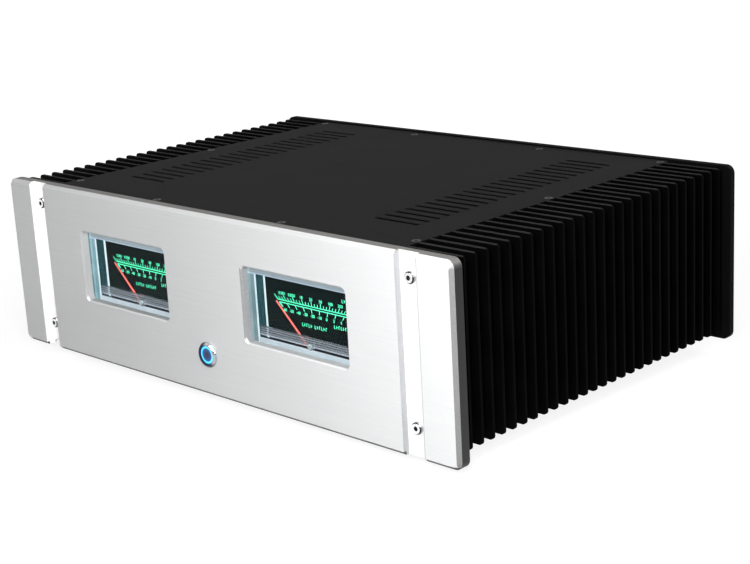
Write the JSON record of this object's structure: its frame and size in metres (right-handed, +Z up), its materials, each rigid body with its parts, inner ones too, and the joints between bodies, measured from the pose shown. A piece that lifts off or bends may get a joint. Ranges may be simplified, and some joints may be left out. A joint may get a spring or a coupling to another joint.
{
  "type": "stereo power amplifier",
  "caption": "Hi-fi power amplifier with a thick silver front panel, needle meters behind windows, a lit power button and finned black heatsinks along both sides.",
  "frame": {"origin": "middle of the whole outline, at table level", "axes": "+X to the right as seen from the front, +Y to the back, +Z up"},
  "size_m": [0.43, 0.3144, 0.132],
  "materials": {
    "silver_panel": "brushed and clear anodised",
    "black_sink": "black anodised, matte",
    "black_sheet": "black satin powder coat",
    "plain_aluminium": "mill finish",
    "bright_screw": "bright plated",
    "black_screw": "blackened",
    "zinc_steel": "zinc plated",
    "rubber": "matte",
    "foot_black": "black anodised",
    "button_metal": "polished",
    "button_cap": "satin",
    "blue_light": "lit, translucent",
    "clear": "clear, polished",
    "tinted": "smoky, with fine lines",
    "light_guide": "translucent, edge lit",
    "dial": "matte, printed with a lit scale",
    "needle_red": "painted",
    "black_plastic": "moulded",
    "grey_plastic": "moulded",
    "gold": "gold plated",
    "white_plastic": "moulded",
    "red_plastic": "moulded",
    "fuse_glass": "clear",
    "winding": "taped copper winding on an iron core",
    "movement": "closed can",
    "board": "glass fibre board",
    "capacitor": "sleeved can",
    "lamp_board": "white board"
  },
  "bodies": {
    "chassis": {"front_panel": "silver_panel", "front_panel_screws": "bright_screw", "rear_panel": "black_sheet", "rear_panel_screws": "black_screw", "heatsink_left": "black_sink", "heatsink_right": "black_sink", "front_rail": "plain_aluminium", "rear_rail": "plain_aluminium", "top_cover": "black_sheet", "top_cover_screws": "black_screw", "bottom_plate": "black_sheet", "bottom_plate_screws": "black_screw", "feet": "foot_black", "foot_pads": "rubber", "foot_screws": "zinc_steel", "button_body": "button_metal", "button_nut": "zinc_steel", "meter_clamps": "zinc_steel", "meter_posts": "zinc_steel", "mains_inlet": "black_plastic", "inlet_pins": "gold", "input_sockets": "gold", "input_cores": "white_plastic", "terminal_bases": "black_plastic", "terminal_studs": "gold", "transformer": "winding", "transformer_dish": "zinc_steel", "transformer_bolt": "zinc_steel", "supply_board": "board", "smoothing_capacitors": "capacitor", "rectifier": "black_plastic", "amplifier_boards": "board", "output_transistors": "black_plastic", "board_standoffs": "gold", "meter_glass_left": "clear", "meter_glass_right": "clear", "meter_strip_left": "tinted", "meter_strip_right": "tinted", "meter_light_frame_left": "light_guide", "meter_light_frame_right": "light_guide", "meter_dial_left": "dial", "meter_dial_right": "dial", "meter_movement_left": "movement", "meter_movement_right": "movement", "meter_case_left": "black_plastic", "meter_case_right": "black_plastic", "meter_lamps_left": "lamp_board", "meter_lamps_right": "lamp_board"},
    "power_button": {"button_cap": "button_cap", "button_light_ring": "blue_light"},
    "needle_left": {"meter_needle_left": "needle_red"},
    "needle_right": {"meter_needle_right": "needle_red"},
    "zero_screw_left": {"meter_zero_screw_left": "grey_plastic"},
    "zero_screw_right": {"meter_zero_screw_right": "grey_plastic"},
    "speaker_cap_1": {"terminal_cap_1": "red_plastic"},
    "speaker_cap_2": {"terminal_cap_2": "black_plastic"},
    "speaker_cap_3": {"terminal_cap_3": "black_plastic"},
    "speaker_cap_4": {"terminal_cap_4": "red_plastic"},
    "fuse_tray": {"fuse_drawer": "black_plastic", "fuse": "fuse_glass"}
  },
  "joints": [
    {"name": "power_button_press", "type": "slide", "parent": "chassis", "child": "power_button", "axis": [0, 1, 0], "range_m": [0, 0.0015], "stiffness_N_per_m": 900, "springref_m": -0.0012},
    {"name": "needle_swing_left", "type": "hinge", "parent": "chassis", "child": "needle_left", "pos_m": [-0.0845, -0.13515, 0.0427], "axis": [0, 1, 0], "range_deg": [0, 92.8], "stiffness_Nm_per_rad": 0.0005, "springref_deg": -11.46},
    {"name": "zero_screw_turn_left", "type": "hinge", "parent": "chassis", "child": "zero_screw_left", "pos_m": [-0.0845, -0.14315, 0.0548], "axis": [0, 1, 0], "continuous": true},
    {"name": "needle_swing_right", "type": "hinge", "parent": "chassis", "child": "needle_right", "pos_m": [0.0845, -0.13515, 0.0427], "axis": [0, 1, 0], "range_deg": [0, 92.8], "stiffness_Nm_per_rad": 0.0005, "springref_deg": -11.46},
    {"name": "zero_screw_turn_right", "type": "hinge", "parent": "chassis", "child": "zero_screw_right", "pos_m": [0.0845, -0.14315, 0.0548], "axis": [0, 1, 0], "continuous": true},
    {"name": "speaker_cap_turn_1", "type": "hinge", "parent": "chassis", "child": "speaker_cap_1", "pos_m": [-0.09, 0.14485, 0.05], "axis": [0, 1, 0], "continuous": true},
    {"name": "speaker_cap_turn_2", "type": "hinge", "parent": "chassis", "child": "speaker_cap_2", "pos_m": [-0.062, 0.14485, 0.05], "axis": [0, 1, 0], "continuous": true},
    {"name": "speaker_cap_turn_3", "type": "hinge", "parent": "chassis", "child": "speaker_cap_3", "pos_m": [0.062, 0.14485, 0.05], "axis": [0, 1, 0], "continuous": true},
    {"name": "speaker_cap_turn_4", "type": "hinge", "parent": "chassis", "child": "speaker_cap_4", "pos_m": [0.09, 0.14485, 0.05], "axis": [0, 1, 0], "continuous": true},
    {"name": "fuse_tray_pull", "type": "slide", "parent": "chassis", "child": "fuse_tray", "axis": [0, 1, 0], "range_m": [0, 0.018]}
  ]
}
